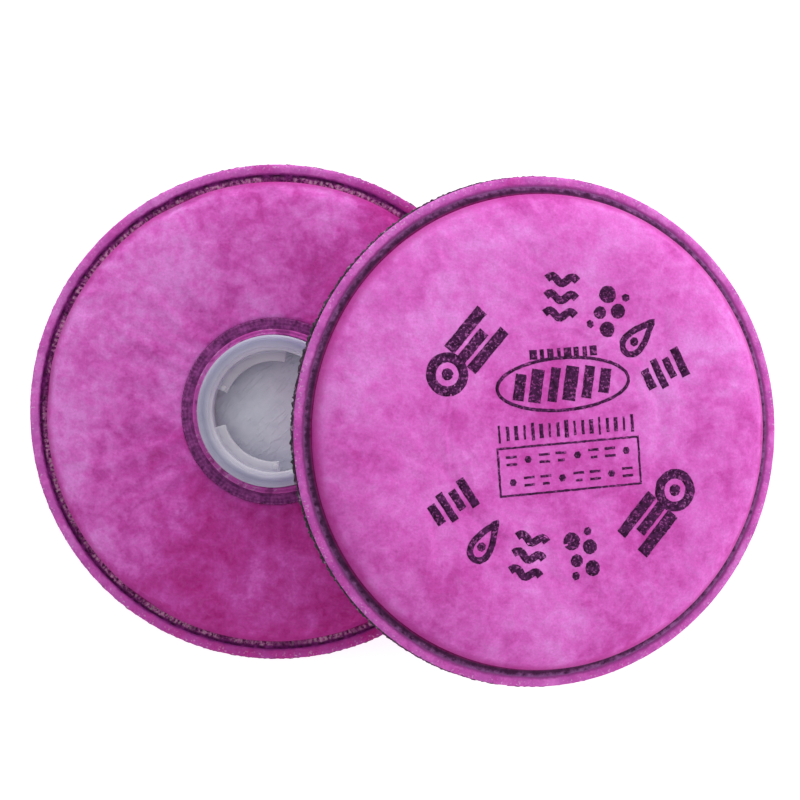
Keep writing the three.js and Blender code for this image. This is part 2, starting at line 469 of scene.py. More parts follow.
def cover_material(name, seed, foot, dye_and_shade=(), contrast=1.0):
    """The cover web over the padding. It is painted a darker magenta where it dives into the weld:
    painted shade at the foot of the padded part.
    """
    nodes = Nodes(name, seed)
    colour, relief = dyed_fibre(nodes, seed, dye_and_shade, contrast)
    radius, _ = nodes.polar()
    # Painted shade: darker magenta over the last 1.7 mm before the foot of the padded part.
    foot_shade = nodes.fade(radius, (foot - 1.7) * MM, foot * MM)
    colour = nodes.mix(nodes.times(foot_shade, 0.7), colour, (0.42, 0.018, 0.24))
    return nodes.finish(colour, nodes.bump(relief, 0.08, 0.7), **FIBRE_FINISH)


def rim_material(name, seed, melt_shade_colour, span, dye_and_shade=()):
    """The cover web where it is pressed in the rim. It is pink on the outer roll and melts into
    the colour of the weld between the two radii of span; that change is partly the fused web and
    partly painted shade on the roll's inner slope. Pale broken fibres stand on its edge."""
    nodes = Nodes(name, seed)
    colour, relief = dyed_fibre(nodes, seed, dye_and_shade)
    radius, _ = nodes.polar()
    mottle = nodes.speckle(500, 3.0, 0.6)
    # Painted shade on the roll's inner slope, mixed with the fused web's colour.
    melt_and_shade = nodes.fall(nodes.ragged(radius, mottle, 0.8), span[0] * MM, span[1] * MM)
    pressed = nodes.fade(nodes.speckle(330, 3.0, 0.6), 0.34, 0.66)
    colour = nodes.mix(nodes.times(pressed, 0.62), colour, (0.50, 0.09, 0.45))
    half = nodes.mix(0.45, melt_shade_colour, (0.50, 0.05, 0.40))
    colour = nodes.mix(nodes.fade(melt_and_shade, 0.0, 0.6), colour, half)
    colour = nodes.mix(nodes.fade(melt_and_shade, 0.45, 1.0), colour, melt_shade_colour)
    flecks = nodes.fade(nodes.speckle(2000, 1.0, 0.4), 0.60, 0.72)
    outer = nodes.fade(radius, 50.6 * MM, 52.0 * MM)
    flecks = nodes.times(flecks, outer)
    colour = nodes.mix(nodes.times(flecks, 0.5), colour, (0.84, 0.56, 0.82))
    # Speckled darkening on the outermost edge of the rim.
    edge_darkening = nodes.fade(nodes.speckle(900, 2.0, 0.6), 0.56, 0.70)
    edge_darkening = nodes.times(edge_darkening, nodes.fade(radius, 51.9 * MM, 52.35 * MM))
    colour = nodes.mix(nodes.times(edge_darkening, 0.8), colour, (0.10, 0.03, 0.10))
    relief = nodes.plus(relief, nodes.times(mottle, 1.5))
    return nodes.finish(colour, nodes.bump(relief, 0.16, 0.9), **FIBRE_FINISH)


def ink_material(name, seed):
    """Speckled ink: the dyed web shows between its dots."""
    nodes = Nodes(name, seed)
    colour, relief = dyed_fibre(nodes, seed)
    gaps = nodes.fade(nodes.speckle(1900, 2.0, 0.6), 0.53, 0.68)
    ink = nodes.ramp(nodes.speckle(900, 2.0), [
        (0.35, (0.028, 0.005, 0.030)),
        (0.70, (0.100, 0.018, 0.100)),
    ])
    colour = nodes.mix(nodes.times(gaps, 0.40), ink, colour)
    return nodes.finish(colour, nodes.bump(relief, 0.05, 0.6), roughness=0.9,
                        specular_ior_level=0.1)


def front_weld_material(name, seed):
    """Fused web in the front groove: bluish purple by the rim, nearly black in the middle
    and dark magenta where the padded part begins, which is painted shade in the crease there."""
    nodes = Nodes(name, seed)
    radius, _ = nodes.polar()
    mottle = nodes.speckle(800, 3.0, 0.6)
    dark = nodes.ramp(mottle, [
        (0.36, (0.070, 0.015, 0.068)),
        (0.55, (0.195, 0.060, 0.195)),
        (0.74, (0.350, 0.135, 0.350)),
    ])
    edge = nodes.ragged(radius, mottle, 0.9)
    outer = nodes.fade(edge, 49.8 * MM, 50.4 * MM)
    colour = nodes.mix(nodes.times(outer, 0.8), dark, (0.33, 0.115, 0.35))
    middle = nodes.math("ABSOLUTE", nodes.minus(edge, 49.35 * MM))
    middle = nodes.fall(middle, 0.1 * MM, 0.5 * MM)
    colour = nodes.mix(nodes.times(middle, 0.75), colour, (0.066, 0.013, 0.062))
    # Painted shade: dark magenta in the crease where the padded part begins.
    inner = nodes.fall(radius, 48.8 * MM, 49.15 * MM)
    colour = nodes.mix(nodes.times(inner, 0.8), colour, (0.30, 0.010, 0.15))
    return nodes.finish(colour, nodes.bump(mottle, 0.1, 0.8), roughness=0.8,
                        specular_ior_level=0.1)


def horn_marks(nodes, turn):
    """The broken marks of the welding horn's teeth in the rear groove."""
    jitter = nodes.times(nodes.speckle(500, 1.0), 1.6)
    tooth = nodes.plus(nodes.times(turn, TEETH_REAR), jitter)
    tooth = nodes.math("ABSOLUTE", nodes.minus(nodes.math("FRACT", tooth), 0.5))
    tooth = nodes.fall(tooth, 0.12, 0.36)
    broken = nodes.fade(nodes.speckle(1300, 2.0, 0.6), 0.40, 0.56)
    return nodes.times(tooth, broken)


def rear_weld_material(name, seed):
    """Fused web in the rear groove. The welding horn's teeth left a mottled mauve strip on
    its inner part, and the part by the rim is nearly black."""
    nodes = Nodes(name, seed)
    radius, turn = nodes.polar()
    mottle = nodes.speckle(700, 3.0, 0.6)
    dark = nodes.ramp(mottle, [
        (0.38, (0.040, 0.002, 0.036)),
        (0.56, (0.115, 0.006, 0.100)),
        (0.76, (0.260, 0.030, 0.220)),
    ])
    edge = nodes.ragged(radius, mottle, 0.8)
    strip = nodes.fall(edge, 49.35 * MM, 49.85 * MM)
    worn = nodes.fade(nodes.speckle(190, 2.0, 0.6), 0.36, 0.58)
    mauve = nodes.ramp(nodes.speckle(1500, 2.0, 0.6), [
        (0.38, (0.080, 0.006, 0.068)),
        (0.50, (0.320, 0.050, 0.240)),
        (0.64, (0.540, 0.180, 0.420)),
    ])
    share = nodes.plus(nodes.times(worn, 0.65), 0.30)
    colour = nodes.mix(nodes.times(strip, share), dark, mauve)
    marks = nodes.times(nodes.times(strip, worn), horn_marks(nodes, turn))
    colour = nodes.mix(nodes.times(marks, 0.55), colour, (0.66, 0.42, 0.54))
    # Painted shade: dark magenta in the crease where the padded part begins.
    inner = nodes.fall(radius, 48.6 * MM, 48.85 * MM)
    colour = nodes.mix(nodes.times(inner, 0.7), colour, (0.44, 0.030, 0.22))
    return nodes.finish(colour, nodes.bump(mottle, 0.1, 0.8), roughness=0.8,
                        specular_ior_level=0.1)


def core_material(name, seed):
    """The charcoal-loaded web where the rim's cut edge shows it."""
    nodes = Nodes(name, seed)
    mottle = nodes.speckle(850, 3.0, 0.65)
    colour = nodes.ramp(mottle, [
        (0.42, (0.018, 0.009, 0.021)),
        (0.58, (0.060, 0.030, 0.064)),
        (0.70, (0.38, 0.25, 0.37)),
    ])
    return nodes.finish(colour, nodes.bump(mottle, 0.15, 1.0), roughness=0.9)


def collar_material(name, seed):
    """The cover web fused on the flange: turned lines, and fine teeth at its outer edge."""
    nodes = Nodes(name, seed)
    radius, turn = nodes.polar()
    mottle = nodes.speckle(750, 3.0, 0.6)
    colour = nodes.ramp(mottle, [
        (0.34, (0.100, 0.010, 0.094)),
        (0.55, (0.235, 0.030, 0.205)),
        (0.74, (0.430, 0.075, 0.360)),
    ])
    wander = nodes.times(mottle, 2.5)
    spokes = nodes.plus(nodes.times(turn, math.tau * TEETH_COLLAR), wander)
    spokes = nodes.math("SINE", spokes)
    at_edge = nodes.fade(radius, 18.0 * MM, 19.2 * MM)
    share = nodes.plus(nodes.times(at_edge, 0.22), 0.1)
    spokes = nodes.times(spokes, share)
    lines = nodes.plus(nodes.times(radius, math.tau / (0.72 * MM)), wander)
    lines = nodes.times(nodes.math("SINE", lines), 0.24)
    weave = nodes.plus(spokes, lines)
    dip = nodes.fade(nodes.plus(weave, mottle), 0.1, 1.6)
    colour = nodes.mix(nodes.times(dip, 0.5), colour, (0.50, 0.13, 0.44))
    relief = nodes.plus(nodes.times(weave, 0.4), mottle)
    return nodes.finish(colour, nodes.bump(relief, 0.12, 0.8), roughness=0.7,
                        specular_ior_level=0.25)


def fold_material(name, seed):
    """The loose edge of the cover web inside the collar: magenta with pale threads."""
    nodes = Nodes(name, seed)
    colour, relief = dyed_fibre(nodes, seed)
    colour = nodes.mix(0.45, colour, (0.36, 0.030, 0.24))
    along = nodes.moved((seed, 0, 0), 0.6, (3, 1, 1))
    threads = nodes.fade(nodes.noise(along, 1500, 2.0), 0.58, 0.70)
    colour = nodes.mix(nodes.times(threads, 0.5), colour, (0.62, 0.45, 0.62))
    shadow = nodes.fade(nodes.speckle(450, 2.0, 0.6), 0.52, 0.68)
    colour = nodes.mix(nodes.times(shadow, 0.6), colour, (0.14, 0.012, 0.11))
    return nodes.finish(colour, nodes.bump(relief, 0.12, 0.8), **FIBRE_FINISH)


def plastic_material(name, seed):
    """Milky polypropylene with faint flow marks. The lug shelves in the bore are painted lighter
    than the outer ring: painted light standing in for light through the milky wall."""
    nodes = Nodes(name, seed)
    radius, _ = nodes.polar()
    cloud = nodes.speckle(140, 3.0, 0.5, 0.6)
    ring = nodes.ramp(cloud, [
        (0.30, (0.345, 0.36, 0.46)),
        (0.70, (0.41, 0.42, 0.525)),
    ])
    lugs_painted_lighter = nodes.ramp(cloud, [
        (0.30, (0.57, 0.58, 0.66)),
        (0.70, (0.64, 0.65, 0.73)),
    ])
    # Painted light: the bore's lug shelves get a lighter copy of the ring's colour.
    outer_ring_mask = nodes.fade(radius, 12.9 * MM, 14.6 * MM)
    colour = nodes.mix(outer_ring_mask, lugs_painted_lighter, ring)
    grain = nodes.speckle(2600, 2.0, 0.5)
    rough_value = nodes.plus(nodes.times(cloud, 0.16), 0.45)
    return nodes.finish(
        colour, nodes.bump(grain, 0.012, 0.35), roughness=rough_value, ior=1.49,
        subsurface_weight=1.0, subsurface_radius=(1.0, 0.95, 1.1),
        subsurface_scale=6 * MM, specular_ior_level=0.25,
    )


def plain_web_material(name, seed, low, high, scale):
    """A loose nonwoven of one colour: clumps, crossing fibres and a soft relief."""
    nodes = Nodes(name, seed)
    clumps = nodes.speckle(scale, 4.0, 0.6, 0.7)
    colour = nodes.ramp(clumps, [(0.32, low), (0.70, high)])
    along = nodes.moved((seed, 0, seed), 0.9, (5, 1, 1))
    fibres = nodes.fade(nodes.noise(along, 1700, 2.0, 0.5, 0.3), 0.50, 0.70)
    colour = nodes.mix(nodes.times(fibres, 0.18), colour, high)
    relief = nodes.plus(nodes.times(clumps, 0.8), fibres)
    return nodes.finish(colour, nodes.bump(relief, 0.12, 0.7), roughness=0.92,
                        sheen_weight=0.15, sheen_roughness=0.5)


# ---- Covers ----


def pillow_height(radius, side):
    """The outer face of a cover over its padding. It is nearly flat in the middle and
    curves down more and more towards the weld, and at the rear down to the collar too."""
    foot, height, power = (REAR_FOOT, REAR_HEIGHT, 9) if side > 0 else (FRONT_FOOT, FRONT_HEIGHT, 11)
    share = min(1.0, radius / foot)
    top = WELD_HALF + (height - WELD_HALF) * math.sqrt(max(0.0, 1 - share**power))
    if side > 0:
        inward = max(0.0, 1 - (radius - COVER_HOLE) / 3.0)
        top -= (height - COLLAR_TOP + 0.15) * (1 - math.sqrt(max(0.0, 1 - inward**2)))
    return top


def padding_height(radius, side):
    """The outer face of the filter web under a cover, which the cover can't go below."""
    top = REAR_WEB_TOP if side > 0 else FRONT_WEB_TOP
    bend = WEB_RADIUS - 2.6
    return float(np.interp(radius, [bend, WEB_RADIUS, WEB_RADIUS + 0.3], [top, 1.9, 0.0]))


RIM_PROFILE = [
    (49.3, 0.78), (49.9, 0.76), (50.25, 0.86), (50.6, 1.03), (51.0, 1.15), (51.45, 1.2),
    (51.85, 1.17), (52.12, 1.08), (52.3, 0.98), (52.36, 0.89), (52.22, 0.8),
]
COVER_INSIDE = [(51.0, 0.46), (49.0, 0.46), (47.6, 0.46)]


def cover_rings(side):
    """The rings of a cover, from the middle over the outside to the rim and back inside.
    Returns the rings and how many of them lie on the padding."""
    foot, hole = (REAR_FOOT, COVER_HOLE) if side > 0 else (FRONT_FOOT, 0.0)
    rings = []
    radius = hole
    index = 0
    while radius < foot - 0.5 * CELL:
        count = max(1, round(math.tau * radius / CELL / 6) * 6)
        rings.append((radius, pillow_height(radius, side), count, 0.5 * (index % 2)))
        near_edge = radius > foot - 4 * CELL or radius < COVER_HOLE + 3
        radius += 0.55 * CELL if near_edge and radius > 1 else CELL
        index += 1
    edge_count = 360
    rings.append((foot, WELD_HALF + 0.05, edge_count, 0.0))
    on_padding = len(rings)
    rings += [(r, z, edge_count, 0.0) for r, z in RIM_PROFILE + COVER_INSIDE]
    inside = [46.6, 45.0, 42.0, 38.0, 30.0, 24.0] + ([hole] if hole else [12.0, 0.0])
    for radius in inside:
        top = pillow_height(min(radius + 0.6, foot), side)
        count = max(1, round(math.tau * radius / (2.5 * CELL) / 6) * 6)
        rings.append((radius, max(0.46, top - COVER_THICKNESS), count, 0.0))
    return rings, on_padding


def blown(name, rest, web_faces, foot, hole):
    """The part of a cover over its padding, after its cloth has settled."""
    radius = np.hypot(rest[:, 0], rest[:, 1])
    pinned = (radius > foot - 0.2) | (radius < hole + 0.5 if hole else False)
    held = np.full(len(rest), 0.12)
    move = settle(name, rest, web_faces, pinned, held) - rest
    length = np.linalg.norm(move, axis=1, keepdims=True)
    cap = 0.9
    return rest + move * cap / (cap + length)


def padding_lump(point, radius, foot, hole, seed):
    """How far the padding lifts a cover at one point, with puckers by the weld."""
    near_foot = min(1.0, max(0.0, (foot - radius) / 3.0))
    near_hole = min(1.0, (radius - hole) / 2.0) if hole else 1.0
    lump = 0.16 * rough(point, 13, seed) + 0.06 * rough(point, 3.2, seed + 5)
    puckers = 0.20 * math.exp(-(((foot - 3.2 - radius) / 2.6) ** 2))
    lump += puckers * rough((12 * point[0] / (radius + 1), 12 * point[1] / (radius + 1),
                             radius / 9), 1.1, seed + 9, 2)
    return lump * near_foot * max(0.0, near_hole)


def swell_rim(point, radius, seed):
    """Makes the pressed rim a little uneven at one point."""
    swell = 0.035 * rough(point, 1.6, seed + 3) + 0.05 * rough(point, 7, seed + 4)
    point[:2] *= 1 + 0.5 * swell / radius
    point[2] += 0.6 * swell


def make_cover(prefix, side, material):
    """One cover web, as a closed shell. side is 1 for the rear and -1 for the front."""
    rear = side > 0
    hole = COVER_HOLE if rear else 0.0
    foot = REAR_FOOT if rear else FRONT_FOOT
    rings, on_padding = cover_rings(side)
    points, faces, spans = lay_rings(rings, closed=rear)
    padding_points = spans[on_padding][0]
    rim_points = spans[on_padding + len(RIM_PROFILE)][0]
    seed = SEEDS[prefix] + side
    web_faces = [f for f in faces if max(f) < padding_points]
    points[:padding_points] = blown(f"{prefix}_settling", points[:padding_points],
                                    web_faces, foot, hole)
    for k, point in enumerate(points):
        radius = math.hypot(point[0], point[1])
        if k < padding_points:
            point[2] += padding_lump(point, radius, foot, hole, seed)
            point[2] = max(point[2], padding_height(radius, side) + 0.25)
        elif k < rim_points and radius > RIM_START:
            swell_rim(point, radius, seed)
    if prefix == "lower" and not rear:
        points[:, 2] = np.minimum(points[:, 2], FRONT_HEIGHT - 0.01)
    if not rear:
        points[:, 2] *= -1
    return shell(prefix, f"{SIDE_NAMES[side]}_cover", points, faces, material)


# ---- Welds, fitting and inner pad ----


def make_weld_strip(prefix, side, material):
    """The fused strip in the groove. At the rear it has ribs where the welding horn's teeth
    pressed, and then a deeper line by the rim."""
    rear = side > 0
    depth = 0.07 if rear else 0.0
    foot = REAR_FOOT if rear else FRONT_FOOT
    profile = [(foot - 0.1, 0.60), (foot - 0.05, 1.02), (foot + 0.25, 0.97), (foot + 0.5, 0.96),
               (49.5, 0.95), (49.75, 0.88), (50.0, 0.84), (50.35, 0.88), (50.45, 0.60)]
    shape = np.array([0, 0.3, 1, 1, 1, 0.2, 0.1, 0, 0])
    seed = SEEDS[prefix] + 20 * side

    def ribs(angle, index):
        wave = math.cos(angle * TEETH_REAR)
        spot = on_circle(50, angle)
        wander = 0.06 * rough(spot, 1.1, seed) + 0.04 * rough(spot, 4.0, seed + 1)
        return depth * wave * shape + wander * (shape > 0)

    points, faces = swept(profile, round_angles(TEETH_REAR * 4), axial=ribs)
    points[:, 2] *= side
    return shell(prefix, f"{SIDE_NAMES[side]}_weld_strip", points, faces, material)


def make_core(prefix, material):
    """The dark core that shows as a ragged line in the rim's cut edge."""
    profile = [(48.4, -0.40), (51.7, -0.48), (52.2, -0.72), (52.42, -0.58), (52.48, 0.0),
               (52.42, 0.58), (52.2, 0.72), (51.7, 0.48), (48.4, 0.40)]
    shape = np.array([0, 0.2, 0.8, 1, 1, 1, 0.8, 0.2, 0])
    lift = np.array([0, 0, -1, -1, 0, 1, 1, 0, 0])
    seed = SEEDS[prefix] + 40

    def frayed(angle, index):
        return np.array([rough(on_circle(52, angle, 1.5 * k), 0.8, seed) for k in index])

    def radial(angle, index):
        loose = max(0.0, math.cos(angle)) if prefix == "upper" else 0.0
        return ((0.16 + 0.34 * loose) * frayed(angle, index) + 0.16 * loose) * shape

    def axial(angle, index):
        return 0.22 * frayed(angle, index + 20) * lift

    points, faces = swept(profile, round_angles(1080), radial=radial, axial=axial)
    return shell(prefix, "rim_core", points, faces, material)


def make_collar(prefix, material):
    """The fused ring on the fitting's flange, with fine teeth round its outer edge."""
    top = COLLAR_TOP
    profile = [(17.3, COLLAR_LOW), (17.3, top - 0.15), (17.45, top - 0.02), (17.8, top - 0.1),
               (18.15, top), (18.6, top - 0.1), (19.0, top - 0.04), (19.3, top + 0.05),
               (19.55, top - 0.05), (19.5, COLLAR_LOW)]
    teeth = np.array([0, 0, 0, 0, 0, 0, 0.4, 0.9, 1, 0.3])
    ribs = np.array([0, 0, 0.1, 0.2, 0.3, 0.6, 1, 1, 0.3, 0])
    seed = SEEDS[prefix] + 60

    def grow(angle, index):
        spot = on_circle(20, angle)
        uneven = 0.10 * rough(spot, 0.9, seed) + 0.20 * abs(rough(spot, 0.5, seed + 7))
        bite = 0.03 + 0.06 * rough(spot, 2.5, seed + 1)
        return (bite * math.cos(angle * TEETH_COLLAR) + uneven) * teeth

    def rise(angle, index):
        return 0.02 * math.cos(angle * TEETH_COLLAR) * ribs

    points, faces = swept(profile, round_angles(TEETH_COLLAR * 6), radial=grow, axial=rise)
    return shell(prefix, "collar_weld_ring", points, faces, material)


def make_collar_fold(prefix, material):
    """The edge of the cover web that stands up in two low ridges between the collar weld
    and the fitting."""
    seed = SEEDS[prefix] + 80
    top = COLLAR_TOP
    profile = [(15.96, COLLAR_LOW), (15.96, top + 0.1), (16.06, top + 0.32), (16.26, top + 0.36),
               (16.46, top + 0.2), (16.62, top + 0.06), (16.85, top + 0.16), (17.1, top + 0.14),
               (17.3, top - 0.02), (17.38, COLLAR_LOW)]
    loose = np.array([0, 0.3, 1, 1, 0.8, 0.8, 1, 1, 0.4, 0])

    def wander(angle, index):
        spot = on_circle(17, angle)
        return (0.06 * rough(spot, 2.2, seed) + 0.05 * rough(spot, 0.8, seed + 1)) * loose

    points, faces = swept(profile, round_angles(720), radial=wander, axial=wander)
    return shell(prefix, "collar_fold", points, faces, material)


LUG_SPANS_DEG = [(78.0, 158.5), (195.5, 275.5), (315.0, 400.0)]


def tube_profile():
    """The fitting's wall, from the flange's foot up the outside, over the mouth with its
    turned steps and down the bore. Corners that a thumb can feel are rounded."""
    top, foot = FITTING_HEIGHT, FITTING_FOOT
    wall, bore, flange = FITTING_RADIUS, BORE_RADIUS, FLANGE_RADIUS
    return [
        (bore, foot), (flange - 0.1, foot), (flange, foot + 0.1), (flange, foot + 0.7),
        (flange - 0.1, foot + 0.8), (wall + 0.25, foot + 0.8), (wall + 0.05, foot + 1.0),
        (wall, top - 2.0), (wall - 0.03, top - 0.45), (wall - 0.1, top - 0.2),
        (wall - 0.27, top - 0.05), (wall - 0.5, top),
        (wall - 1.05, top), (wall - 1.15, top - 0.04), (wall - 1.3, top - 0.04),
        (wall - 1.4, top), (wall - 2.15, top), (wall - 2.33, top - 0.05),
        (wall - 2.43, top - 0.2), (wall - 2.53, top - 0.36), (wall - 2.7, top - 0.42),
        (bore + 0.2, top - 0.44), (bore + 0.06, top - 0.5), (bore, top - 0.65),
    ]


def lug_solid(start, end):
    """One inner lug: a flat shelf with rounded edges; the small stop at its far end is a separate
    solid.
    """
    top = FITTING_HEIGHT - 2.0
    low = top - 1.3
    lip, root = LUG_RADIUS, BORE_RADIUS + 0.35
    section = [(root, low), (lip + 0.3, low), (lip + 0.08, low + 0.12), (lip, low + 0.35),
               (lip, top - 0.35), (lip + 0.08, top - 0.12), (lip + 0.3, top),
               (root - 0.75, top), (root - 0.65, top + 0.12), (root - 0.5, top + 0.16),
               (root, top + 0.16)]
    steps = 40
    spread = [math.radians(start + (end - start) * k / steps) for k in range(steps + 1)]
    return swept(section, spread, wrap=False)


def stop_solid(angle_deg):
    """The small peg at the end of a lug that the facepiece's lug clicks past."""
    angle = math.radians(angle_deg)
    middle = LUG_RADIUS + 1.05
    top = FITTING_HEIGHT - 2.0
    points, faces = [], []
    sides, layers = 14, [(0.62, -0.9), (0.62, 0.25), (0.52, 0.42), (0.30, 0.50)]
    for radius, height in layers:
        for k in range(sides):
            turn = k * math.tau / sides
            points.append((middle * math.cos(angle) + radius * math.cos(turn),
                           middle * math.sin(angle) + radius * math.sin(turn), top + height))
    for layer in range(len(layers) - 1):
        for k in range(sides):
            a, b = layer * sides + k, layer * sides + (k + 1) % sides
            faces.append((a, b, b + sides, a + sides))
    faces.append(tuple(range(sides))[::-1])
    faces.append(tuple((len(layers) - 1) * sides + k for k in range(sides)))
    return np.array(points), faces


def make_fitting(prefix, material, turn_deg):
    """The bayonet fitting, joined into one solid."""
    place = PLACES[prefix] @ Matrix.Rotation(math.radians(turn_deg), 4, "Z")
    points, faces = swept(tube_profile(), round_angles(256))
    fitting = outward(make_object(f"{prefix}_fitting", points, faces, material, place))
    extras = [lug_solid(*span) for span in LUG_SPANS_DEG]
    extras += [stop_solid(end - 3.5) for _, end in LUG_SPANS_DEG]
    for points, faces in extras:
        tool = outward(make_object("lug_tool", points, faces, material, place))
        union = fitting.modifiers.new("union", "BOOLEAN")
        union.operation = "UNION"
        union.solver = "EXACT"
        union.object = tool
        graph = bpy.context.evaluated_depsgraph_get()
        joined = bpy.data.meshes.new_from_object(fitting.evaluated_get(graph))
        fitting.modifiers.clear()
        fitting.data = joined
        bpy.data.objects.remove(tool)
    fitting.data.materials.clear()
    fitting.data.materials.append(material)
    fitting.data.set_sharp_from_angle(angle=math.radians(32))
    return fitting


def make_spacer(prefix, material):
    """The breather pad, which swells a little into the fitting's mouth."""
    seed = SEEDS[prefix] + 100
    rim_top, mouth, top_rings = 2.2, 12.1, 46
    rings = []
    for k in range(top_rings):
        radius = k * CELL
        count = max(1, round(math.tau * radius / CELL / 6) * 6)
        swell = (SPACER_TOP - rim_top) * max(0.0, 1 - (radius / mouth) ** 2)
        rings.append((radius, rim_top + swell, count, 0.5 * (k % 2)))
    outer = rings[-1][0]
    rings += [(outer + 0.8, 1.2, 240, 0.0), (outer + 0.8, -1.4, 240, 0.0),
              (outer - 1.0, -2.6, 120, 0.0), (20.0, -2.6, 60, 0.0), (0.0, -2.6, 1, 0.0)]
    points, faces, spans = lay_rings(rings, closed=False)
    for k in range(spans[top_rings - 1][0]):
        soft = 0.22 * rough(points[k], 5.0, seed) + 0.08 * rough(points[k], 1.5, seed + 2)
        points[k][2] += min(soft, 0.05) if np.hypot(*points[k][:2]) > 12 else soft - 0.1
    return shell(prefix, "spacer_pad", points, faces, material)


# ---- Print on the upper filter's front ----
# The marks are generic signs: a stroke is (points, width, closed), in millimetres on the
# disc, with the print's own baseline level.

PRINT_TURN_DEG = 8.9
INK_LIFT = 0.05


def turned(a, b, turn):
    """The point (a, b), turned about the origin."""
    return a * math.cos(turn) - b * math.sin(turn), a * math.sin(turn) + b * math.cos(turn)


def bar(x, y, length, width, turn_deg=0.0):
    """A straight stroke centred on (x, y)."""
    turn = math.radians(turn_deg)
    dx, dy = length / 2 * math.cos(turn), length / 2 * math.sin(turn)
    return [(x - dx, y - dy), (x + dx, y + dy)], width, False


def oval(x, y, half_x, half_y, width, turn_deg=0.0):
    """A closed stroke round an ellipse."""
    turn = math.radians(turn_deg)
    points = []
    for angle in round_angles(72):
        a, b = turned(half_x * math.cos(angle), half_y * math.sin(angle), turn)
        points.append((x + a, y + b))
    return points, width, True


def dot(x, y, radius):
    """A filled disc."""
    return oval(x, y, radius / 2, radius / 2, radius * 0.94)


def wave(x, y, length, height, width):
    """A stroke that rises and falls once and a half."""
    points = []
    for k in range(25):
        share = k / 24
        points.append((x + length * (share - 0.5), y + height * math.sin(3 * math.pi * share)))
    return points, width, False


def frame_strokes(x, y, wide, high, width):
    """The outline of a rectangle as four bars that meet at the corners."""
    return [
        bar(x, y + high / 2, wide + width, width),
        bar(x, y - high / 2, wide + width, width),
        bar(x - wide / 2, y, high - width, width, 90),
        bar(x + wide / 2, y, high - width, width, 90),
    ]


def sign_air():
    return [wave(0, y, 6.6, 0.7, 1.6) for y in (3.5, 0, -3.5)]


def sign_drop():
    """The outline of a drop with a dot in it."""
    points = []
    for angle in round_angles(48):
        points.append((2.9 * math.sin(angle) * math.sin(angle / 2) ** 1.6,
                       4.4 * math.cos(angle) - 0.4))
    return [(points, 1.3, True), dot(0, -1.9, 1.0)]


def sign_dust():
    return [dot(-1.5, 3.0, 1.9), dot(2.0, 0.9, 1.6), dot(-1.4, -1.1, 1.4), dot(1.5, -3.5, 1.7),
            dot(2.3, 4.1, 0.9), dot(-2.3, -4.1, 0.9)]


def sign_layers():
    return [bar(0, 3.9, 6.4, 1.8), bar(0, 1.3, 4.4, 1.6), bar(0, -1.3, 6.4, 1.6),
            bar(0, -3.9, 4.4, 1.8)]


def placed(strokes, x, y, turn_deg):
    """Strokes turned about their own origin and moved to (x, y)."""
    turn = math.radians(turn_deg)
    result = []
    for points, width, closed in strokes:
        points = [turned(*point, turn) for point in points]
        result.append(([(x + a, y + b) for a, b in points], width, closed))
    return result


def print_strokes():
    """Everything that is printed, on the level baseline."""
    strokes = []
    upper_arc = zip((sign_air, sign_dust, sign_drop, sign_layers), (82, 60, 42, 23))
    lower_arc = zip((sign_layers, sign_drop, sign_air, sign_dust), (-151, -128, -106, -80))
    for sign, angle in upper_arc:
        at = math.radians(angle)
        strokes += placed(sign(), 27.5 * math.cos(at), 27.5 * math.sin(at), angle - 90)
    for sign, angle in lower_arc:
        at = math.radians(angle)
        strokes += placed(sign(), 25.4 * math.cos(at), 25.4 * math.sin(at), angle + 90)
    badge = [oval(-5.3, 0, 3.4, 3.4, 2.0), dot(-5.3, 0, 1.3), bar(3.9, 2.9, 10.6, 2.6),
             bar(2.4, -0.3, 7.6, 2.2), bar(3.9, -3.3, 10.6, 2.3)]
    strokes += placed(badge, -17.6, 17.2, 45)
    strokes += placed(badge, 22.1, -17.8, 225)
    for k, width in enumerate((1.6, 0.9, 1.3, 0.7, 1.6, 1.1, 0.9, 1.5)):
        strokes.append(bar(-3.0 + 1.85 * k, 16.0, width, 2.0))
    strokes.append(oval(3.0, 9.7, 14.2, 5.3, 0.65))
    for x, length, width in ((-6.4, 5.4, 2.3), (-2.8, 6.8, 2.6), (1.0, 7.0, 2.0),
                             (4.6, 7.0, 2.8), (8.4, 6.6, 2.1), (12.0, 5.0, 2.3)):
        strokes.append(bar(x, 9.7, length, width, 78))
    for k in range(17):
        tall = 2.9 if k % 4 else 3.6
        strokes.append(bar(-11.4 + 1.8 * k, 0.6, tall, 0.42 + 0.20 * (k * 7 % 3), 90))
    strokes += frame_strokes(3.2, -7.1, 30.4, 9.6, 0.42)
    for row, y in enumerate((-4.9, -9.3)):
        for k in range(8):
            x = -9.2 + 3.55 * k
            if (k + row) % 3 == 1:
                strokes.append(dot(x, y, 0.8))
            else:
                strokes.append(bar(x, y + 0.75, 2.3, 0.5))
                strokes.append(bar(x, y - 0.75, 2.3 - 0.9 * ((k + row) % 2), 0.5))
    return strokes


def spaced(points, closed, step=0.5):
    """The points of a polyline, at even spaces and with their side directions."""
    points = np.array(points + points[:1] if closed else points)
    lengths = np.concatenate([[0], np.cumsum(np.linalg.norm(np.diff(points, axis=0), axis=1))])
    count = max(2, math.ceil(lengths[-1] / step))
    at = np.linspace(0, lengths[-1], count + 1)
    if closed:
        at = at[:-1]
    line = np.stack([np.interp(at, lengths, points[:, axis]) for axis in (0, 1)], 1)
    if closed:
        along = np.roll(line, -1, axis=0) - np.roll(line, 1, axis=0)
    else:
        along = np.gradient(line, axis=0)
    along /= np.linalg.norm(along, axis=1, keepdims=True)
    return line, np.stack([-along[:, 1], along[:, 0]], 1)


